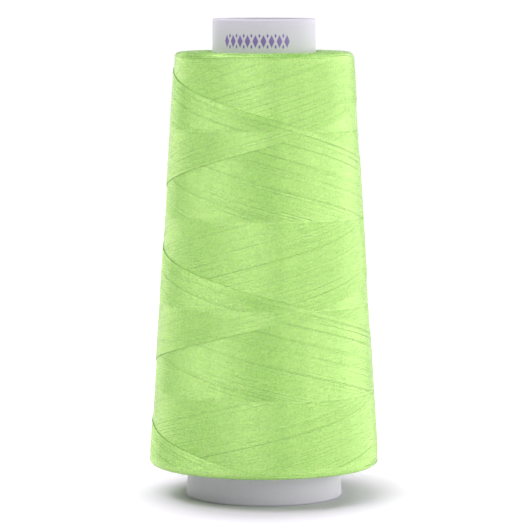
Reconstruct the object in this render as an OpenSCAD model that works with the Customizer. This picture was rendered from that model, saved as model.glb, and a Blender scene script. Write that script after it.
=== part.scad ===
// Cone of sewing thread, standing on its base, as an overlock machine or a thread stand takes it.
// One moulded plastic cone, open at both ends, carries one thread, cross-wound from end to end.
// Millimetres, +Z up, origin at the centre of the base.

/* [Cone] */
// Height of the cone, from its base to the rim of its nose
cone_h = 115; // [95:1:150]
// Outer diameter at the base, where the cone stands
base_d = 37.6; // [33:0.5:44]
// Outer diameter of the straight nose
nose_d = 24.8; // [20:0.1:29]
// Length of the straight nose, whose upper part is bare
nose_h = 13.6; // [11:0.1:18]
// Thickness of the cone's wall
wall = 1.6; // [1.2:0.1:2.4]
// Radius on the outer edges of the base and of the nose's rim
edge_r = 0.5; // [0.2:0.05:0.6]

/* [Winding] */
// Depth of the thread on the cone, measured level
winding_t = 9.6; // [6:0.1:14]
// Length of cone left bare below the thread
bare_base = 7.5; // [4:0.1:12]
// Length of nose left bare above the thread
bare_nose = 7.9; // [5:0.1:10]
// Radius on the shoulders of the wound thread
shoulder_r = 1.6; // [0.8:0.1:2]
// Clearance between the cone and the thread wound on it
seat_gap = 0.2; // [0.1:0.05:0.4]

/* [Outer turns] */
// Diameter of each drawn turn of the outer layer
turn_d = 0.5; // [0.4:0.05:1]
// Clear distance between rising and falling turns where they cross
cross_gap = 0.5; // [0.47:0.01:0.6]
// Clear distance between the outer layer and the plain winding under it
under_gap = 0.1; // [0.1:0.05:0.5]
// Turns in the outer layer, laid in five double strokes
turns = 24; // [21:1:24]
// Angle on each side of a reversal over which the traverse slows and turns back
turn_back = 60; // [30:5:90]

/* [Hidden] */
$fn = 96;

// The cone is one straight taper from the base to the foot of its straight nose.
base_r = base_d / 2;
nose_r = nose_d / 2;
nose_z = cone_h - nose_h;
slope = (base_r - nose_r) / nose_z;
taper = atan(slope);
level_wall = wall / cos(taper);
bore_r = nose_r - wall;
bore_z = (base_r - level_wall - bore_r) / slope;

// The winding keeps the cone's taper, so it is equally deep from end to end.
wind_z0 = bare_base;
wind_z1 = cone_h - bare_nose;

// The outer layer is one tube. Its rings lie on the same planes in every turn, so crossing chords
// keep their distance, but each chord dips towards the round winding under it.
rings = 24;
sides = 6;
step_a = 360 / rings;
dip = wind_r(wind_z0) * (1 - cos(step_a / 2));
layer_step = turn_d + cross_gap;
core_inset = layer_step + turn_d + dip + under_gap;

// Wound angles: one stroke of the traverse, the lead of a double stroke on the next one, and the
// half width of the climb between layers. The start lies midway between two falling turns.
double_strokes = 5;
stroke_a = 360 * turns / (2 * double_strokes);
lead_a = 360 / double_strokes;
climb_a = lead_a / 2;
start_p = 3.25 * lead_a;
start_a = 162;
open_turn = 0.4;
ring_count = floor((turns - open_turn) * rings) + 1;

// Each end leaves the layer by a quarter bend, runs square to the winding below it for one tube
// diameter, and stops at the same clear distance from it as the turns.
end_run = turn_d;
bend_r = core_inset - turn_d / 2 - end_run - under_gap;
bend_steps = 3;

// Radius of the cone's taper and of the wound package at height z, and what its shoulders take off.
function cone_r(z) = base_r - slope * z;
function wind_r(z) = cone_r(z) + winding_t;
function from_end(z) = min(z - wind_z0, wind_z1 - z);
function below_shoulder(e) = max(0, shoulder_r - e);
function shoulder_inset(z) = let (b = below_shoulder(from_end(z)))
    shoulder_r - sqrt(shoulder_r * shoulder_r - b * b);

// Share of the traverse, 0 to 1, at wound angle p. It is a parabola near each reversal.
function folded(p) = p < stroke_a ? p : 2 * stroke_a - p;
function eased(m) = m < turn_back ? (m * m / turn_back + turn_back) / 2 : m;
function travel(m) = m < stroke_a / 2 ? eased(m) : stroke_a - eased(stroke_a - m);
function share(p) = (travel(folded(p)) - turn_back / 2) / (stroke_a - turn_back);

// Layer at wound angle p: 0 for falling turns, 1 for rising turns, which lie over them.
function smooth(t) = let (c = min(1, max(0, t))) c * c * (3 - 2 * c);
function climb(q) = smooth((q + climb_a) / (2 * climb_a));
function layer(p) = p < stroke_a / 2 ? climb(p)
    : p < 1.5 * stroke_a ? 1 - climb(p - stroke_a)
    : climb(p - 2 * stroke_a);

// Point i of the wound tube's centreline.
function turn_point(i) = let (
    a = start_a + i * step_a,
    p = (start_p + i * step_a) % (2 * stroke_a),
    z = wind_z0 + turn_d / 2 + share(p) * (wind_z1 - wind_z0 - turn_d),
    r = wind_r(z) - shoulder_inset(z) - turn_d / 2 - (1 - layer(p)) * layer_step)
    [r * cos(a), r * sin(a), z];

function unit(v) = v / norm(v);
function backwards(list) = [for (i = [len(list) - 1:-1:0]) list[i]];

// Points of an end that leaves point c heading along t, and dives square to the taper.
function dive(c, t) = let (
    out = unit([c.x, c.y, 0]),
    down = -cos(taper) * out - [0, 0, sin(taper)],
    ahead = unit(t - (t * down) * down),
    bend = [for (k = [1:bend_steps]) let (f = 90 * k / bend_steps)
        c + bend_r * (sin(f) * ahead + (1 - cos(f)) * down)])
    concat(bend, [bend[bend_steps - 1] + end_run * down]);

wound = [for (i = [0:ring_count - 1]) turn_point(i)];
head = dive(wound[0], wound[0] - wound[1]);
tail = dive(wound[ring_count - 1], wound[ring_count - 1] - wound[ring_count - 2]);
path = concat(backwards(head), wound, tail);

// Least clear distance of the tube to itself: between the chords that share a sector, and from
// the points of each end to every chord that it doesn't grow from.
function chord_gap(d0, e) = norm(d0 + min(1, max(0, -(d0 * e) / max(e * e, 1e-9))) * e);
sector_gaps = [for (i = [0:ring_count - 2], j = [i + rings:rings:ring_count - 2])
    chord_gap(wound[i] - wound[j], wound[i + 1] - wound[j + 1] - wound[i] + wound[j])];
head_gaps = [for (p = head, j = [2:ring_count - 2])
    chord_gap(wound[j] - p, wound[j + 1] - wound[j])];
tail_gaps = [for (p = tail, j = [0:ring_count - 4])
    chord_gap(wound[j] - p, wound[j + 1] - wound[j])];
least_gap = min(concat(sector_gaps, head_gaps, tail_gaps)) - turn_d;
echo(turns_wound = (ring_count - 1) / rings, least_gap_mm = least_gap);

// Points of an arc about c, from angle a0 to a1, for the section of a turned shape.
function arc(c, r, a0, a1) = [for (k = [0:6]) let (a = a0 + (a1 - a0) * k / 6)
    c + r * [cos(a), sin(a)]];

// Arcs that round the lower and the upper outer corner of a tapered side, at heights z0 and z1.
function lower_round(side_r, z0, r) = arc([side_r(z0 + r) - r / cos(taper), z0 + r], r, -90, taper);
function upper_round(side_r, z1, r) = arc([side_r(z1 - r) - r / cos(taper), z1 - r], r, taper, 90);

module cone() {
    color("gainsboro")
    rotate_extrude()
    polygon(concat(
        lower_round(function(z) cone_r(z), 0, edge_r),
        [[nose_r, nose_z]],
        arc([nose_r - edge_r, cone_h - edge_r], edge_r, 0, 90),
        [[bore_r, cone_h], [bore_r, bore_z], [base_r - level_wall, 0]]));
}

module inner_winding() {
    core_r = function(z) wind_r(z) - core_inset;
    color("yellowgreen")
    rotate_extrude()
    polygon(concat(
        [[cone_r(wind_z0) + seat_gap, wind_z0]],
        lower_round(core_r, wind_z0, shoulder_r),
        upper_round(core_r, wind_z1, shoulder_r),
        [[nose_r + seat_gap, wind_z1], [nose_r + seat_gap, nose_z]]));
}

module outer_turns() {
    last = len(path) - 1;
    across = function(i) unit(path[min(i + 1, last)] - path[max(i - 1, 0)]);
    points = [for (i = [0:last]) let (
        along = across(i),
        side = unit(cross(along, [0, 0, 1])),
        up = cross(side, along))
        for (k = [0:sides - 1])
            path[i] + turn_d / 2 * (cos(k * 360 / sides) * side + sin(k * 360 / sides) * up)];
    corner = function(i, k) i * sides + k % sides;
    color("greenyellow")
    polyhedron(points, concat(
        [for (i = [0:last - 1], k = [0:sides - 1]) [corner(i, k), corner(i, k + 1), corner(i + 1, k + 1)]],
        [for (i = [0:last - 1], k = [0:sides - 1]) [corner(i, k), corner(i + 1, k + 1), corner(i + 1, k)]],
        [for (k = [1:sides - 2]) [0, k + 1, k]],
        [for (k = [1:sides - 2]) [corner(last, 0), corner(last, k), corner(last, k + 1)]]));
}

cone();
inner_winding();
outer_turns();
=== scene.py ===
# %% [markdown]
# # A cone of sewing thread
# A thread cone is two real pieces. A hollow plastic moulding carries the thread, and some kilometres of it
# are cross-wound on the moulding. The winding machine turns the cone at a steady speed while a guide runs up
# and down it, so the thread lies in long spirals that slope one way going up and the other way coming down.
# The looks of the cone are in that winding, so it is built here from separate strands, laid by the rules of
# the machine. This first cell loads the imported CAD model, which fixes every size and place. It has +Z up, in
# metres.

# %% Load the frame
import math

import bpy
import numpy as np
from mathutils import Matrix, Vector


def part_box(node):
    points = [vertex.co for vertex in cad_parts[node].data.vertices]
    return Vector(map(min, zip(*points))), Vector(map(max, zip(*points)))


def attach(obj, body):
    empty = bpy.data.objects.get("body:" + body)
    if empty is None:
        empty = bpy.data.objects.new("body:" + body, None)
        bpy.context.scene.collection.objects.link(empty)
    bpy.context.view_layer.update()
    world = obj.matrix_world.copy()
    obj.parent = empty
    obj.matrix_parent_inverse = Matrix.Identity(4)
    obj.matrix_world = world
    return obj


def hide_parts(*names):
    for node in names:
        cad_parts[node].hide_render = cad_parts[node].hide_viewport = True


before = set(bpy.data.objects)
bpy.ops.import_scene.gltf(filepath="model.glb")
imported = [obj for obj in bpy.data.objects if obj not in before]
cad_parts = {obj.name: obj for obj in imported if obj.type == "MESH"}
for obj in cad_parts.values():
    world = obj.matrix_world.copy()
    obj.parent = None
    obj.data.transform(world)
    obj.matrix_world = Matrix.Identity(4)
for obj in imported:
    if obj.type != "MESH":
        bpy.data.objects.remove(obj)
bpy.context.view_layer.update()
MM = 0.001

# %% [markdown]
# ## Sizes
# The frame gives the cone's height and the two ends of the winding. The radii, the wall and the rounded edges
# repeat the CAD model's own values, because a box alone doesn't hold them.

# %% Driving sizes, in millimetres
CONE_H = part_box("cone")[1].z / MM
WIND_Z0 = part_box("inner_winding")[0].z / MM
WIND_Z1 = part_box("inner_winding")[1].z / MM
BASE_R = 18.8
NOSE_R = 12.4
NOSE_LEN = 13.6
WALL = 1.6
EDGE_R = 0.5
WIND_DEPTH = 9.6
SHOULDER_R = 1.6
SEAT = 0.2

NOSE_Z = CONE_H - NOSE_LEN
SLOPE = (BASE_R - NOSE_R) / NOSE_Z
TAPER = math.atan(SLOPE)


def cone_r(z):
    """Radius of the cone's tapered outside at height z: the base radius less the slope times z."""
    return BASE_R - SLOPE * z


print("taper, degrees:", round(math.degrees(TAPER), 2))
print("winding from", round(WIND_Z0, 2), "to", round(WIND_Z1, 2), "mm")

# %% [markdown]
# ## From arrays to meshes
# Blender can take a whole mesh from arrays. So each piece is worked out with numpy as a grid of points: one
# direction runs round the section, and the other runs along the path. Two helpers turn such grids into
# a mesh. The printed volume is a check as well as a fact: it is positive only if the faces point outwards.


# %% Mesh helpers
def grid_faces(rows, columns, close_rows=False, close_columns=False):
    """Quads of a grid whose point (i, j) is number i * columns + j, closed on itself where asked."""
    i = np.arange(rows if close_rows else rows - 1)[:, None]
    j = np.arange(columns if close_columns else columns - 1)[None, :]
    i1, j1 = (i + 1) % rows, (j + 1) % columns
    corners = [i * columns + j, i1 * columns + j, i1 * columns + j1, i * columns + j1]
    return np.stack(corners, -1).reshape(-1, 4)


def enclosed(points, face_sets):
    """Volume in closed faces: a sixth of the sum of a . (b x c) over each face's triangles a, b, c."""
    total = 0.0
    for faces in face_sets:
        for k in range(1, faces.shape[1] - 1):
            a, b, c = points[faces[:, 0]], points[faces[:, k]], points[faces[:, k + 1]]
            total += np.einsum("ij,ij->", a, np.cross(b, c)) / 6
    return total


def add_mesh(name, points, face_sets, uv_sets=None):
    """A smooth mesh object from points (n, 3) in mm and a list of face arrays, one per number of corners.

    uv_sets gives each UV map's values in the same order: {label: [(faces, corners, 2), ...]}."""
    corners = np.concatenate([faces.ravel() for faces in face_sets]).astype(np.int32)
    sizes = np.concatenate([np.full(len(faces), faces.shape[1]) for faces in face_sets])
    mesh = bpy.data.meshes.new(name)
    mesh.vertices.add(len(points))
    mesh.vertices.foreach_set("co", (points * MM).astype(np.float32).ravel())
    mesh.loops.add(len(corners))
    mesh.loops.foreach_set("vertex_index", corners)
    mesh.polygons.add(len(sizes))
    mesh.polygons.foreach_set("loop_start", (np.cumsum(sizes) - sizes).astype(np.int32))
    mesh.polygons.foreach_set("use_smooth", np.ones(len(sizes), bool))
    mesh.update(calc_edges=True)
    for label, values in (uv_sets or {}).items():
        layer = mesh.uv_layers.new(name=label)
        layer.data.foreach_set("uv", np.concatenate([v.ravel() for v in values]).astype(np.float32))
    piece = bpy.data.objects.new(name, mesh)
    bpy.context.scene.collection.objects.link(piece)
    print(f"{name}: {len(sizes)} faces, encloses {enclosed(points, face_sets):.1f} mm3")
    return piece


# %% [markdown]
# ## The moulded cone
# The carrier is a thin injection-moulded shell, open at both ends. Its section is one closed outline: up the
# tapered outside, over the rim of the straight nose, down the bore and down the hollow taper. Turning that
# outline round the axis gives the whole piece, with the soft edges that a mould leaves.


# %% Turned profiles
def arc(centre, radius, first, last, steps=8):
    """Points (r, z) on an arc about a centre, from one angle to another, in degrees."""
    a = np.radians(np.linspace(first, last, steps + 1))
    return np.stack([centre[0] + radius * np.cos(a), centre[1] + radius * np.sin(a)], -1)


def run(start, end, steps):
    """Evenly spaced points from start up to, but not including, end."""
    t = np.linspace(0, 1, steps, endpoint=False)[:, None]
    return np.array(start) * (1 - t) + np.array(end) * t


def turned(name, profile, around=144):
    """A turned piece: each (r, z) of a closed profile is carried round the axis to (r cos a, r sin a, z)."""
    a = np.linspace(0, 2 * np.pi, around, endpoint=False)[:, None]
    r, z = profile[:, 0][None, :], profile[:, 1][None, :]
    points = np.stack([r * np.cos(a), r * np.sin(a), z + 0 * a], -1).reshape(-1, 3)
    return add_mesh(name, points, [grid_faces(around, len(profile), close_rows=True, close_columns=True)])


# %% [markdown]
# The outline follows the CAD model's. Its bore is straight in the nose and widens with the taper below, where
# the wall is measured square to the slope. The inner edges are only broken, so their arcs are small.

# %% Moulded cone
level_wall = WALL / math.cos(TAPER)
bore_r = NOSE_R - WALL
bore_z = (BASE_R - level_wall - bore_r) / SLOPE
foot_r = BASE_R - level_wall
BROKEN_R = 0.2
cone_profile = np.concatenate(
    [
        arc((cone_r(EDGE_R) - EDGE_R / math.cos(TAPER), EDGE_R), EDGE_R, -90, math.degrees(TAPER)),
        run((cone_r(3 * EDGE_R), 3 * EDGE_R), (NOSE_R, NOSE_Z), 24),
        run((NOSE_R, NOSE_Z), (NOSE_R, CONE_H - 2 * EDGE_R), 8),
        arc((NOSE_R - EDGE_R, CONE_H - EDGE_R), EDGE_R, 0, 90),
        arc((bore_r + BROKEN_R, CONE_H - BROKEN_R), BROKEN_R, 90, 180, 4),
        run((bore_r, CONE_H - 3 * BROKEN_R), (bore_r, bore_z), 6),
        run((bore_r, bore_z), (foot_r, 3 * BROKEN_R), 24),
        arc((foot_r + BROKEN_R, BROKEN_R), BROKEN_R, 180, 270, 4),
    ]
)
cone = turned("moulded_cone", cone_profile)

# %% [markdown]
# ## The skin that the thread is wound to
# Thread on a cone makes a skin of its own: a flat annulus at each end, a small round shoulder, and a long
# straight side. The skin is written as a function of the distance along it, s, so that a strand runs over
# a shoulder as smoothly as it runs up the side. It gives a radius, a height and the direction that points
# outwards.

# %% The wound skin
ARC_LOW = SHOULDER_R * (math.pi / 2 + TAPER)
ARC_HIGH = SHOULDER_R * (math.pi / 2 - TAPER)
SET_IN = WIND_DEPTH - SHOULDER_R / math.cos(TAPER)
low_centre = (cone_r(WIND_Z0 + SHOULDER_R) + SET_IN, WIND_Z0 + SHOULDER_R)
high_centre = (cone_r(WIND_Z1 - SHOULDER_R) + SET_IN, WIND_Z1 - SHOULDER_R)
SIDE = math.hypot(high_centre[0] - low_centre[0], high_centre[1] - low_centre[1])
SKIN = ARC_LOW + SIDE + ARC_HIGH


def skin(s):
    """(radius, height, outward r, outward z) at distance s, which is 0 where the lower shoulder starts.

    The outward direction turns from straight down to the taper's own over the lower shoulder, holds it up
    the side, and turns on to straight up over the upper one. The point is the shoulder's centre plus its
    radius in that direction. On the side the centre slides from one shoulder's to the other's, and past
    either end it slides inwards, which gives the annulus."""
    angle = -np.pi / 2 + (np.clip(s, 0, ARC_LOW) + np.clip(s - ARC_LOW - SIDE, 0, ARC_HIGH)) / SHOULDER_R
    t = np.clip((s - ARC_LOW) / SIDE, 0, 1)
    past = np.maximum(-s, 0) + np.maximum(s - SKIN, 0)
    out_r, out_z = np.cos(angle), np.sin(angle)
    r = low_centre[0] * (1 - t) + high_centre[0] * t + SHOULDER_R * out_r - past
    z = low_centre[1] * (1 - t) + high_centre[1] * t + SHOULDER_R * out_z
    return r, z, out_r, out_z


def place(theta, s, lift):
    """The point at angle theta (0 in front, + to the right) and distance s, lifted off the skin."""
    r, z, out_r, out_z = skin(s)
    a = np.radians(theta)
    r, z = r + out_r * lift, z + out_z * lift
    return np.stack([r * np.sin(a), -r * np.cos(a), z], -1)


def outward(theta, s):
    """The unit vector that points straight out of the skin there."""
    _, _, out_r, out_z = skin(s)
    a = np.radians(theta)
    return np.stack([out_r * np.sin(a), -out_r * np.cos(a), out_z + 0 * a], -1)


print("skin from shoulder to shoulder, mm:", round(SKIN, 2))

# %% [markdown]
# ## How the thread is laid
# The cone turns almost exactly five times while the guide goes up and down once. So each double stroke lies
# right beside the one before, and after about 165 of them the cone has a new layer. That leaves a map that
# the eye can read: one sharp edge where the newest falling strand lies, one where the newest rising strand
# lies, and level seams where the two families pass each other, every half turn.
#
# Each place on the skin has two ages: how long ago a falling strand passed it, and how long ago a rising one.
# Both grow from 0 to 1 leftwards from the newest strand. The younger family lies on top.

# %% Laying rules
THREAD_D = 0.25
STRANDS = 165
STROKE = 900.0
EASE = 47.0
NEWEST = 30.0
LAYER = 0.19
FIRST_S = 0.40 * ARC_LOW
LAST_S = SKIN - 0.40 * ARC_HIGH


def distance(g):
    """Distance s at wound angle g of a stroke, which runs from 0 to STROKE degrees.

    It climbs steadily, but follows a parabola within EASE degrees of each end, where the guide turns back."""
    m = np.minimum(g, STROKE - g)
    eased = np.where(m < EASE, (m * m / EASE + EASE) / 2, m)
    gone = np.where(g < STROKE / 2, eased, STROKE - eased)
    return FIRST_S + (LAST_S - FIRST_S) * (gone - EASE / 2) / (STROKE - EASE)


def ages(theta, s):
    """(age of the falling layer, age of the rising layer) at an angle round the cone and a distance s."""
    steps = np.linspace(0, STROKE, 1801)
    g = np.interp(s, distance(steps), steps)
    return ((NEWEST - g - theta) / 360) % 1, ((NEWEST + g - theta) / 360) % 1


def smooth_step(t):
    """0 below 0, 1 above 1 and 3t^2 - 2t^3 between, so that a change starts and ends gently."""
    t = np.clip(t, 0, 1)
    return t * t * (3 - 2 * t)


print("one turn climbs", round(float(distance(640.0) - distance(280.0)), 2), "mm")

# %% [markdown]
# ## Tubes of thread
# A strand is a tube with a half-round back: the lower half is buried, so it is flat and costs few faces.
# Each strand also gets two UV maps. "strand_mm" runs in millimetres along the strand, and places the twist.
# The other is a neat atlas with one strip for each strand, for programs that keep the finish as an image.
# A margin runs round each strip, and the flat ends lie in it.


# %% UV maps of tubes
def fan(sides):
    """Triangles that spread from corner 0 and fill an end with the given number of corners."""
    k = np.arange(1, sides - 1)
    return np.stack([0 * k, k, k + 1], -1)


def tube_uvs(path, angles):
    """Both UV maps of a set of tubes, for its side quads and for the triangles of its two ends."""
    strands, points = path.shape[:2]
    sides = len(angles)
    steps = np.linalg.norm(np.diff(path, axis=1), axis=-1)
    length = np.concatenate([np.zeros((strands, 1)), np.cumsum(steps, 1)], 1)
    i, k = np.meshgrid(np.arange(points - 1), np.arange(sides), indexing="ij")
    ci = np.stack([i, i + 1, i + 1, i], -1).reshape(-1, 4)
    ck = np.stack([k, k, k + 1, k + 1], -1).reshape(-1, 4) / sides
    row = np.arange(strands)[:, None, None]
    side_mm = np.stack([length[:, ci], row + 0 * length[:, ci] + ck], -1)
    side_u = 0.004 + 0.992 * ci / (points - 1) + 0.0 * row
    side_v = (row + 0.06 + 0.88 * ck) / strands
    side_at = np.stack([side_u, side_v], -1)
    ends = np.stack([fan(sides), fan(sides)[:, ::-1]])[None]
    end_mm = np.stack([length[:, [0, -1]][:, :, None, None] + 0 * ends, row[..., None] + ends / sides], -1)
    middle = np.array([0.002, 0.998])[None, :, None, None]
    end_u = middle + 0.001 * np.cos(angles)[ends] + 0 * row[..., None]
    end_v = (row[..., None] + 0.5 + 0.4 * np.sin(angles)[ends]) / strands
    end_at = np.stack([end_u, end_v], -1)
    return {"OFBake": [side_at, end_at], "strand_mm": [side_mm, end_mm]}


# %% [markdown]
# The section rides along the path like a bead on a wire. Three directions carry it: along the path, across
# it on the surface, and up from the surface.


# %% Tubes along paths
def tubes(name, path, normal, angles, half_width, half_height):
    """Closed tubes along paths (strands, points, 3) that lie on a surface with the given outward normals.

    At each point the section is path + across * half_width * cos(angle) + up * half_height * sin(angle),
    where across is at right angles to the path and the normal, and up completes the three."""
    along = np.gradient(path, axis=1)
    along /= np.linalg.norm(along, axis=-1, keepdims=True)
    across = np.cross(along, normal)
    across /= np.linalg.norm(across, axis=-1, keepdims=True)
    up = np.cross(across, along)
    c, s = np.cos(angles)[:, None], np.sin(angles)[:, None]
    ring = path[:, :, None] + across[:, :, None] * c * half_width + up[:, :, None] * s * half_height
    strands, points, sides = ring.shape[:3]
    shift = (np.arange(strands) * points * sides)[:, None, None]
    walls = grid_faces(points, sides, close_columns=True)[None] + shift
    ends = np.concatenate([fan(sides), fan(sides)[:, ::-1] + (points - 1) * sides])[None] + shift
    face_sets = [walls.reshape(-1, 4), ends.reshape(-1, 3)]
    return add_mesh(name, ring.reshape(-1, 3), face_sets, tube_uvs(path, angles))


HALF_ROUND = np.radians([-15, 30, 70, 110, 150, 195])
STRAND_W = THREAD_D * 0.60
STRAND_H = THREAD_D * 0.42
print("a strand's half width and height, mm:", STRAND_W, STRAND_H)

# %% [markdown]
# ## The two outer layers
# 165 strands fall and 165 rise. No two lie quite evenly, because the guide has some play and the tension
# changes. So each strand wanders by a small part of its own width and rides a little up and down. Where the
# families pass each other, a strand dips under or climbs over within BLEND strand widths.

# %% Laying one family
STEP_DEG = 6.0
BLEND = 3.0
CROSSING_DROP = 0.75 * THREAD_D
SPACING_PLAY = 0.04
WANDER = (0.09, 0.06, 0.04)
RIDE = (0.004, 0.003)


def slow_noise(rng, count, g, wavelengths, strengths):
    """Smooth noise along g, one row for each strand: a sum of sines with random phases."""
    total = np.zeros((count, len(g)))
    for length, strength in zip(wavelengths, strengths):
        total += strength * np.sin(2 * np.pi * (g[None, :] / length + rng.uniform(0, 1, (count, 1))))
    return total


def spaced_ages(rng, gaps):
    """Ages of a family's strands: slightly uneven steps that add up to 1, wider at the ages with a gap."""
    steps = np.clip(1 + SPACING_PLAY * rng.standard_normal(STRANDS), 0.6, 1.5)
    for age, width in gaps:
        steps[int(age * STRANDS)] += width
    return (np.cumsum(steps) - steps / 2) / steps.sum()


def lay(way, gaps, seed):
    """Paths and normals of one family of strands in the order of their age; way is 1 rising, -1 falling."""
    rng = np.random.default_rng(seed)
    g = np.arange(0, STROKE + STEP_DEG / 2, STEP_DEG)
    age = spaced_ages(rng, gaps)[:, None]
    wander = slow_noise(rng, STRANDS, g, (410, 173, 71), WANDER)
    theta = NEWEST + way * g[None, :] - 360 * age + wander * 360 / STRANDS
    s = np.broadcast_to(distance(g)[None, :], theta.shape)
    other = (age - way * 2 * g[None, :] / 360) % 1
    under = smooth_step(0.5 + (age - other) * STRANDS / BLEND)
    bump = slow_noise(rng, STRANDS, g, (97, 41), RIDE)
    lift = -LAYER * (age + other) - STRAND_H - CROSSING_DROP * under + bump
    return place(theta, s, lift), outward(theta, s)


# %% [markdown]
# At a few ages the spacing opens, which leaves a fine dark line along the whole spiral. The two tables give
# those ages and how much wider the step is there, in strand widths. Each family is cut in two by age, to keep
# the meshes handy.

# %% Falling and rising strands
FALL_GAPS = [(0.033, 0.5), (0.055, 0.4), (0.105, 0.5), (0.197, 0.4), (0.26, 0.3), (0.37, 0.5), (0.557, 0.7)]
RISE_GAPS = [(0.02, 0.4), (0.08, 0.3), (0.35, 0.4), (0.6, 0.3)]
winding = []
for family, way, gaps, seed in (("falling", -1, FALL_GAPS, 11), ("rising", 1, RISE_GAPS, 23)):
    path, normal = lay(way, gaps, seed)
    for part, chosen in (("newer", slice(0, STRANDS // 2)), ("older", slice(STRANDS // 2, STRANDS))):
        name = f"{part}_{family}_turns"
        winding.append(tubes(name, path[chosen], normal[chosen], HALF_ROUND, STRAND_W, STRAND_H))

# %% [markdown]
# ## The end faces
# Every stroke turns back at an end of the cone, so the flat ends of the package are made of turn-backs, which
# run almost round and round. A spiral of strand with a little play in its radius and height has their look.
# It is cut into lengths of a little more than a turn, so that each has its own strip in the atlas and the
# cuts don't line up. Both ends of the spiral dip under the skin.

# %% End coils
COIL_STEPS = 67
COIL_PITCH = THREAD_D * 1.02
COIL_SUNK = 0.22
END_DIP, END_DIP_DEG = 0.25, 30


def end_coil(name, first_s, last_s, seed):
    """A spiral over an end face: s runs from first_s to last_s by COIL_PITCH a turn, with slow play."""
    rng = np.random.default_rng(seed)
    turns = abs(last_s - first_s) / COIL_PITCH
    pieces = int(turns * 360 / STEP_DEG / COIL_STEPS)
    a = 180 + STEP_DEG * np.arange(pieces * COIL_STEPS + 1)
    along = (a - a[0]) / (a[-1] - a[0])
    s = first_s + (last_s - first_s) * along + slow_noise(rng, 1, a, (431, 287, 151), (0.06, 0.05, 0.04))[0]
    dip = END_DIP * (1 - smooth_step(np.minimum(a - a[0], a[-1] - a) / END_DIP_DEG))
    lift = slow_noise(rng, 1, a, (391, 217, 83), (0.03, 0.03, 0.02))[0] - COIL_SUNK - dip
    cut = np.arange(pieces)[:, None] * COIL_STEPS + np.arange(COIL_STEPS + 1)[None, :]
    path, normal = place(a, s, lift)[cut], outward(a, s)[cut]
    return tubes(name, path, normal, HALF_ROUND, STRAND_W, STRAND_H)


top_s = SKIN + high_centre[0] - NOSE_R - SEAT - STRAND_W
bottom_s = -(low_centre[0] - cone_r(WIND_Z0) - SEAT - STRAND_W)
winding.append(end_coil("top_end_turns", SKIN - 0.75 * ARC_HIGH, top_s, 5))
winding.append(end_coil("bottom_end_turns", 0.75 * ARC_LOW, bottom_s, 6))

# %% [markdown]
# ## The layers underneath
# Under the outer layers is the rest of the package. It is one closed turned solid whose side follows the same
# map of ages, just deep enough to lie under the strands. So a gap between strands shows shaded thread and not
# a hole.

# %% Package under the strands
UNDER = 0.40
END_UNDER = 0.34
AROUND = 360
ALONG = 240
skin_s = np.linspace(bottom_s - STRAND_W, top_s + STRAND_W, ALONG)
theta = np.linspace(-180, 180, AROUND, endpoint=False)[:, None]
fall_age, rise_age = ages(theta, skin_s[None, :])
on_side = smooth_step(skin_s / ARC_LOW) * smooth_step((SKIN - skin_s) / ARC_HIGH)
depth = UNDER * on_side + END_UNDER * (1 - on_side) + LAYER * (fall_age + rise_age) * on_side
package_side = place(theta, skin_s[None, :] + 0 * theta, -depth)
seat_a = np.radians(theta)
seat_r = NOSE_R + SEAT
seat = np.stack([seat_r * np.sin(seat_a), -seat_r * np.cos(seat_a), NOSE_Z + 0 * seat_a], -1)
package_points = np.concatenate([package_side, seat], 1)
columns = package_points.shape[1]
package_faces = grid_faces(AROUND, columns, close_rows=True, close_columns=True)
package = add_mesh("package_under_turns", package_points.reshape(-1, 3), [package_faces])

# %% [markdown]
# ## Loose fibres
# The thread is spun from short fibres, and their ends stand off the package as a fine fuzz. Each hardly
# shows, but together they soften the outline and lighten the edge. Thousands of them are laid in one go:
# a fibre leaves the skin at a low angle and curls a little. Most stay close, and a few stand up to a
# millimetre off.

# %% Fuzz
FIBRE_D = 0.03
FUZZ_LOW, FUZZ_MEAN, FUZZ_TOP = 0.10, 0.28, 1.1
HEADING_SPREAD = 38
ROOT_SUNK = 0.08


def fuzz(name, count, seed):
    """Thin three-sided fibres. At t from 0 to 1 a fibre has run length * t along its own heading, has moved
    sideways by curl * sin(pi t), and stands height * t^1.3 above the strands."""
    rng = np.random.default_rng(seed)
    t = np.linspace(0, 1, 5)[None, :]
    theta, s = rng.uniform(-180, 180, (count, 1)), rng.uniform(bottom_s, top_s, (count, 1))
    heading = np.radians(rng.normal(0, HEADING_SPREAD, (count, 1))) + np.pi * rng.integers(0, 2, (count, 1))
    length = rng.uniform(0.7, 1.7, (count, 1))
    height = np.clip(FUZZ_LOW + rng.exponential(FUZZ_MEAN, (count, 1)), 0, FUZZ_TOP)
    curl = rng.normal(0, 0.22, (count, 1)) * np.sin(np.pi * t)
    east = length * t * np.cos(heading) - curl * np.sin(heading)
    north = length * t * np.sin(heading) + curl * np.cos(heading)
    fall_age, rise_age = ages(theta, s)
    radius = skin(s)[0]
    lift = -LAYER * (fall_age + rise_age) - ROOT_SUNK + height * t**1.3
    at_theta, at_s = theta + np.degrees(east / radius), s + north
    path, normal = place(at_theta, at_s, lift), outward(at_theta, at_s)
    return tubes(name, path, normal, np.radians([90, 210, 330]), FIBRE_D / 2, FIBRE_D / 2)


fibres = [fuzz("loose_fibres_a", 7200, 41), fuzz("loose_fibres_b", 7200, 42)]

# %% [markdown]
# ## Printed mark on the nose
# A nose is usually printed. This one holds a plain row of lozenges, which says nothing. The ink stands a few
# hundredths of a millimetre proud, so it is made as a thin domed film that follows the nose.

# %% Printed mark
INK = 0.06
INK_SINK = 0.02
FILM_RINGS, FILM_CORNERS = 7, 24


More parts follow.
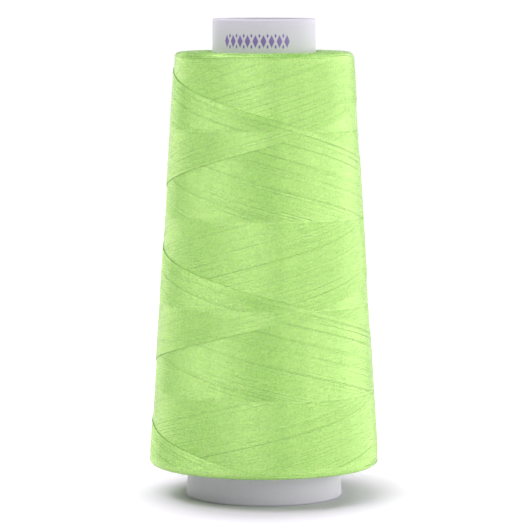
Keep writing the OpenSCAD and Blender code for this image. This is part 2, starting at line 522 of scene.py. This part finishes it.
def film(name, cells):
    """Thin closed lozenges of ink: each cell is (angle, z, half angle, half height).

    A point is the cell's centre plus its half sizes times rho * (cos t, sin t) / (|cos t| + |sin t|), and its
    radius is the nose's plus INK * (1 - rho^4), less a little so that the rim is sunk in the plastic."""
    cell = np.array(cells)[:, None, None, :]
    rho = np.linspace(1, 0.02, FILM_RINGS)[None, :, None]
    t = np.linspace(0, 2 * np.pi, FILM_CORNERS, endpoint=False)[None, None, :]
    reach = rho / (np.abs(np.cos(t)) + np.abs(np.sin(t)))
    a = np.radians(cell[..., 0] + cell[..., 2] * reach * np.cos(t))
    z = cell[..., 1] + cell[..., 3] * reach * np.sin(t)
    r = NOSE_R - INK_SINK + INK * (1 - rho**4) + 0 * t + 0 * cell[..., 0]
    points = np.stack([r * np.sin(a), -r * np.cos(a), z], -1).reshape(-1, 3)
    ring = np.arange(FILM_CORNERS)
    shift = (np.arange(len(cells)) * FILM_RINGS * FILM_CORNERS)[:, None, None]
    walls = grid_faces(FILM_RINGS, FILM_CORNERS, close_columns=True)[None, :, ::-1] + shift
    back = ring[::-1] + shift
    front = ring + (FILM_RINGS - 1) * FILM_CORNERS + shift
    face_sets = [walls.reshape(-1, 4), back.reshape(-1, FILM_CORNERS), front.reshape(-1, FILM_CORNERS)]
    return add_mesh(name, points, face_sets)


MARK_FROM, MARK_TO, MARK_COUNT = -45.0, 26.0, 9
MARK_Z = WIND_Z1 + 2.7
mark_angles = np.linspace(MARK_FROM, MARK_TO, MARK_COUNT)
between = (mark_angles[:-1] + mark_angles[1:]) / 2
cells = [(a, MARK_Z, 3.6, 1.7) for a in mark_angles]
cells += [(a, MARK_Z + up, 1.5, 0.6) for a in between for up in (-1.3, 1.3)]
mark = film("nose_mark", cells)

# %% [markdown]
# ## Finishes
# Colours are written as sRGB hex values and turned to linear light by one function, because the renderer adds
# light linearly. One more helper adds a node with its settings, values and links.


# %% Material helpers
def linear(hex_colour):
    """sRGB hex to linear RGBA: each channel v becomes v / 12.92, or ((v + 0.055) / 1.055) ^ 2.4."""
    v = np.array([int(hex_colour[i : i + 2], 16) / 255 for i in (1, 3, 5)])
    v = np.where(v <= 0.04045, v / 12.92, ((v + 0.055) / 1.055) ** 2.4)
    return (*v, 1.0)


def add_node(tree, kind, settings=None, values=None, links=None):
    """Adds a node, sets its properties and its inputs' values, and links sockets into its inputs."""
    node = tree.nodes.new(kind)
    for key, value in (settings or {}).items():
        setattr(node, key, value)
    for key, value in (values or {}).items():
        node.inputs[key].default_value = value
    for key, socket in (links or {}).items():
        tree.links.new(socket, node.inputs[key])
    return node


def new_material(name):
    """An empty node material and its tree."""
    material = bpy.data.materials.new(name)
    material.use_nodes = True
    material.node_tree.nodes.clear()
    return material, material.node_tree


def finish_material(tree, values, links):
    """The Principled shader and the output that end a material."""
    shader = add_node(tree, "ShaderNodeBsdfPrincipled", None, values, links)
    add_node(tree, "ShaderNodeOutputMaterial", None, None, {"Surface": shader.outputs[0]})


def two_colours(tree, factor, low, high):
    """A Mix node that runs from one colour to another with a factor, and gives the colour socket."""
    values = {"A": linear(low), "B": linear(high)}
    mix = add_node(tree, "ShaderNodeMix", {"data_type": "RGBA"}, values, {"Factor": factor})
    return mix.outputs["Result"]


def noise(tree, size_mm, detail=2.0):
    """Object-space noise whose features are about size_mm across, and its factor socket."""
    where = add_node(tree, "ShaderNodeTexCoord").outputs["Object"]
    values = {"Scale": 1 / (size_mm * MM), "Detail": detail, "Roughness": 0.6}
    return add_node(tree, "ShaderNodeTexNoise", None, values, {"Vector": where}).outputs["Fac"]


# %% [markdown]
# ### Spun polyester thread
# Sewing thread of this kind is spun polyester: short fibres, twisted to two plies and dyed. It has a strong
# silky shine that runs round each strand, tinted by the dye it passes through, and a bloom of fibre ends
# that lightens where the surface turns away. The twist is a wave that runs askew along the strand. A real
# twist is 0.8 mm long, which is used as it is. The mottle of the fibre ends is drawn at 0.5 mm, which is
# coarser than real, so that it shows at arm's length. The colour follows the same height as the relief: in
# the mottle the deeper green is random tone, and in the twist's grooves it is painted shade. The relief is
# slight, because a deep one would scatter the shine that tells the two families apart.

# %% Thread material
GREEN = "#9AE054"
GREEN_DEEP = "#52B004"
GREENISH = (0.84, 1.0, 0.48, 1.0)
BLOOM = (0.9, 1.0, 0.7, 1.0)
TWIST_MM = 0.8
TWIST_SHARE_IN_RELIEF_AND_SHADE = 0.12
MOTTLE_MM = 0.5


def thread_material():
    """Colour and a slight relief from two plies of twist and from the mottle of fibre ends. The twist's
    grooves are painted a deeper green, as shade.
    """
    material, tree = new_material("spun_polyester_thread")
    uv = add_node(tree, "ShaderNodeUVMap", {"uv_map": "strand_mm"})
    part = add_node(tree, "ShaderNodeSeparateXYZ", None, None, {"Vector": uv.outputs[0]})
    settings = {"operation": "MULTIPLY_ADD"}
    links = {0: part.outputs[0], 2: part.outputs[1]}
    phase = add_node(tree, "ShaderNodeMath", settings, {1: 1 / TWIST_MM}, links)
    turn = {"operation": "MULTIPLY"}
    angle = add_node(tree, "ShaderNodeMath", turn, {1: 2 * math.pi}, {0: phase.outputs[0]})
    ply = add_node(tree, "ShaderNodeMath", {"operation": "SINE"}, None, {0: angle.outputs[0]})
    stretch = {"From Min": 0.32, "From Max": 0.68}
    grain = add_node(tree, "ShaderNodeMapRange", None, stretch, {"Value": noise(tree, MOTTLE_MM, 3.0)})
    links = {0: ply.outputs[0], 2: grain.outputs[0]}
    # The colour follows this height: random tone in the mottle, and painted shade in the twist's grooves.
    height = add_node(tree, "ShaderNodeMath", settings, {1: TWIST_SHARE_IN_RELIEF_AND_SHADE}, links)
    colour = two_colours(tree, height.outputs[0], GREEN_DEEP, GREEN)
    values = {"Strength": 0.05, "Distance": 0.03 * MM}
    bump = add_node(tree, "ShaderNodeBump", None, values, {"Height": height.outputs[0]})
    values = {"Roughness": 0.24, "IOR": 2.5, "Specular IOR Level": 1.0, "Specular Tint": GREENISH}
    values |= {"Sheen Weight": 1.0, "Sheen Roughness": 0.3, "Sheen Tint": BLOOM}
    finish_material(tree, values, {"Base Color": colour, "Normal": bump.outputs[0]})
    return material


# %% [markdown]
# ### The other finishes
# The package under the strands is the same thread, seen only in gaps. Its colour is the thread's green made
# deeper, which is painted shade for the gaps. The loose fibres are the same polyester, but one fibre is thin
# enough for light to wash its dye out, so they are paler. The cone is moulded polypropylene: pale grey with
# a breath of lilac, satin, and with the slight orange peel of a moulded skin. The mark is screen ink, a
# little uneven in cover.


# %% Other materials
def simple_material(name, size_mm, low, high, values, relief_mm=0.0):
    """A material whose colour wanders between two close tones, with a relief of the same grain if asked."""
    material, tree = new_material(name)
    grain = noise(tree, size_mm)
    links = {"Base Color": two_colours(tree, grain, low, high)}
    if relief_mm:
        bump_values = {"Strength": 0.3, "Distance": relief_mm * MM}
        links["Normal"] = add_node(tree, "ShaderNodeBump", None, bump_values, {"Height": grain}).outputs[0]
    finish_material(tree, values, links)
    return material


thread = thread_material()
# The under layers' two greens are the thread's green made deeper: painted shade for the gaps between strands.
under_thread_with_painted_shade = simple_material("spun_polyester_under_layers_with_painted_shade", 0.5, "#68BE2A", "#7ACC38", {"Roughness": 0.8})
fibre_values = {"Roughness": 0.5, "Sheen Weight": 0.3}
fibre = simple_material("loose_polyester_fibre", 0.6, "#CDEFA6", "#E2F8C8", fibre_values)
plastic_values = {"Roughness": 0.5, "IOR": 1.49, "Specular IOR Level": 0.4}
plastic = simple_material("moulded_polypropylene", 0.9, "#D8D4DF", "#DEDAE5", plastic_values, relief_mm=0.01)
ink = simple_material("screen_ink", 0.4, "#7E62AF", "#9379BF", {"Roughness": 0.35})

for piece in winding:
    piece.data.materials.append(thread)
for piece in fibres:
    piece.data.materials.append(fibre)
package.data.materials.append(under_thread_with_painted_shade)
cone.data.materials.append(plastic)
mark.data.materials.append(ink)
print("materials:", [m.name for m in bpy.data.materials if m.users])

# %% [markdown]
# ## Tie the pieces to the frame
# The part has no joints, so all of it rides on the one body. The plain CAD solids stay in the frame for
# collision, and these pieces are shown in their place.

# %% Ride and replace
for piece in (cone, mark):
    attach(piece, "root")
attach(package, "root")
for piece in (*winding, *fibres):
    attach(piece, "root")
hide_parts("cone")
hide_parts("inner_winding")
for piece in winding:
    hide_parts("outer_turns")
print("pieces:", 3 + len(winding) + len(fibres))

# %% [markdown]
# ## The floor
# The cone stands on white paper. Close to the cone the paper is lit as it is, so that it keeps the soft
# shadow. It is a breath lilac, which balances the green light that the thread throws on it. From an oval
# round the cone outwards it also glows, for the camera and for reflections only. The oval lies inside the
# cone's shadow, so the glow's rise is painted light that lifts the outer part of that shadow. Farther off, the
# glow makes the background white. It puts no light on the cone, other than in its reflections.

# %% White paper and painted light
PAPER_WHITE = (0.80, 0.745, 0.85, 1.0)
FAR_GLOW = 0.86
# The glow starts at this oval, inside the cone's shadow, and is painted light on the shadow's outer part.
PAINTED_LIGHT_FROM, PAINTED_LIGHT_TO = 0.022, 0.055
PAINTED_LIGHT_OVAL = (1.1, 0.68, 1.0)


def add_rays(tree):
    """1 for camera, glossy and transmission rays and 0 for the rays that carry light to surfaces."""
    ray = add_node(tree, "ShaderNodeLightPath")
    total = ray.outputs["Is Camera Ray"]
    for label in ("Is Glossy Ray", "Is Transmission Ray"):
        settings = {"operation": "ADD", "use_clamp": True}
        total = add_node(tree, "ShaderNodeMath", settings, None, {0: total, 1: ray.outputs[label]}).outputs[0]
    return total


def white_paper_and_painted_light():
    """Diffuse paper plus a glow, which grows in a straight line from the edge of one oval to another's. Its
    rise is painted light over the outer part of the cone's shadow.
    """
    material, tree = new_material("white_paper_and_painted_light")
    where = add_node(tree, "ShaderNodeTexCoord").outputs["Object"]
    times = {"operation": "MULTIPLY"}
    oval = add_node(tree, "ShaderNodeVectorMath", times, {1: PAINTED_LIGHT_OVAL}, {0: where}).outputs[0]
    reach = add_node(tree, "ShaderNodeVectorMath", {"operation": "LENGTH"}, None, {0: oval}).outputs["Value"]
    values = {"From Min": PAINTED_LIGHT_FROM, "From Max": PAINTED_LIGHT_TO, "To Min": 0.0, "To Max": FAR_GLOW}
    straight = {"interpolation_type": "LINEAR"}
    ramp = add_node(tree, "ShaderNodeMapRange", straight, values, {"Value": reach})
    links = {0: ramp.outputs[0], 1: add_rays(tree)}
    strength = add_node(tree, "ShaderNodeMath", times, None, links).outputs[0]
    lit = add_node(tree, "ShaderNodeBsdfDiffuse", None, {"Color": PAPER_WHITE})
    glow = add_node(tree, "ShaderNodeEmission", None, {"Color": (1, 1, 1, 1)}, {"Strength": strength})
    both = add_node(tree, "ShaderNodeAddShader", None, None, {0: lit.outputs[0], 1: glow.outputs[0]})
    add_node(tree, "ShaderNodeOutputMaterial", None, None, {"Surface": both.outputs[0]})
    return material


paper = white_paper_and_painted_light()

# %% [markdown]
# The paper lies flat and wide. A low wall of it stands far off, all round, so that the background is white
# from the cone's own level as well. Both are stage, which means that they aren't part of the object.

# %% Floor and far wall
FLOOR_WIDE = 40
WALL_FAR, WALL_HIGH = 3.5, 0.48
bpy.ops.mesh.primitive_plane_add(size=FLOOR_WIDE)
floor = bpy.context.object
floor.name = "floor"
bpy.ops.mesh.primitive_cylinder_add(radius=WALL_FAR, depth=WALL_HIGH, end_fill_type="NOTHING", vertices=96)
wall = bpy.context.object
wall.name = "far_wall"
wall.location = (0, 0, WALL_HIGH / 2)
for piece in (floor, wall):
    piece.data.materials.append(paper)
print("wall as seen from the cone, degrees:", round(math.degrees(math.atan(WALL_HIGH / WALL_FAR)), 1))

# %% [markdown]
# ## Light
# Thread shines in a band across its own direction, like hair. So lamps high on the left light up the strands
# that fall to the right, and leave those that rise dark there, which is what tells the two families apart.
# Low lamps on the right light both, and an even white room fills the rest. Each softbox is a row of
# a table: its bearing round the cone (0 in front, + to the right) and its height, both in degrees, its width
# and height in metres, and the brightness of its face, where 1 is white. The power follows from the last
# three.

# %% World and lamps
ROOM_LIGHT = 0.24
LAMP_FAR = 1.2
world = bpy.data.worlds.new("white_room")
bpy.context.scene.world = world
world.use_nodes = True
tree = world.node_tree
tree.nodes.clear()
room = add_node(tree, "ShaderNodeBackground", None, {"Color": (1, 1, 1, 1), "Strength": ROOM_LIGHT})
add_node(tree, "ShaderNodeOutputWorld", None, None, {"Surface": room.outputs[0]})


def softbox(name, bearing, up, wide, high, brightness):
    """A lamp LAMP_FAR from the cone's middle that faces it. Its power is pi * area * its brightness."""
    data = bpy.data.lights.new(name, "AREA")
    data.shape, data.size, data.size_y = "RECTANGLE", wide, high
    data.energy = math.pi * wide * high * brightness
    lamp = bpy.data.objects.new(name, data)
    bpy.context.scene.collection.objects.link(lamp)
    a, e = math.radians(bearing), math.radians(up)
    toward = Vector((math.sin(a) * math.cos(e), -math.cos(a) * math.cos(e), math.sin(e)))
    lamp.location = toward * LAMP_FAR + Vector((0, 0, CONE_H * MM / 2))
    lamp.rotation_euler = (-toward).to_track_quat("-Z", "Y").to_euler()
    lamp.visible_camera = False
    print(name, "power:", round(data.energy, 2), "W")


SOFTBOXES = [
    ("left_rim", -145, 12, 0.80, 0.60, 1.3),
    ("left_rear", -118, 48, 0.75, 0.60, 0.9),
    ("left_side", -90, 52, 0.60, 0.40, 3.15),
    ("left_key", -60, 55, 0.60, 0.40, 3.6),
    ("left_front", -32, 56, 0.60, 0.40, 3.35),
    ("top_front", 5, 42, 0.80, 0.60, 0.6),
    ("right_front", 35, 10, 0.70, 0.60, 1.5),
    ("right_key", 70, 8, 0.90, 0.60, 2.35),
    ("right_rear", 115, 8, 1.00, 0.60, 2.7),
    ("right_rim", 148, 12, 0.70, 0.60, 1.0),
    ("top_rear", 120, 50, 0.80, 0.60, 1.0),
    ("overhead", 0, 88, 0.60, 0.60, 1.5),
]
for settings in SOFTBOXES:
    softbox(*settings)

# %% [markdown]
# ## Camera
# A long lens from 0.8 m, a little above the cone and tipped down to it, so that the side shows and the end
# faces hardly do. The focal length is given in pixels of a 524-pixel frame, which is how a view is measured.

# %% Camera
CAMERA_PLACE = Vector((0.0, -0.800, 0.1309))
CAMERA_AIM = Vector((0.0, 0.0, 0.05645))
FOCAL_PX, IMAGE_PX, AXIS_PX = 3336.0, 524.0, 264.06
data = bpy.data.cameras.new("camera")
camera = bpy.data.objects.new("camera", data)
bpy.context.scene.collection.objects.link(camera)
camera.location = CAMERA_PLACE
camera.rotation_euler = (CAMERA_AIM - CAMERA_PLACE).to_track_quat("-Z", "Y").to_euler()
data.sensor_width = 36.0
data.lens = data.sensor_width * FOCAL_PX / IMAGE_PX
data.shift_x = (IMAGE_PX / 2 - AXIS_PX) / IMAGE_PX
data.clip_start, data.clip_end = 0.01, 100.0
bpy.context.scene.camera = camera
bpy.context.scene.view_settings.view_transform = "Standard"
print("lens, mm:", round(data.lens, 1))
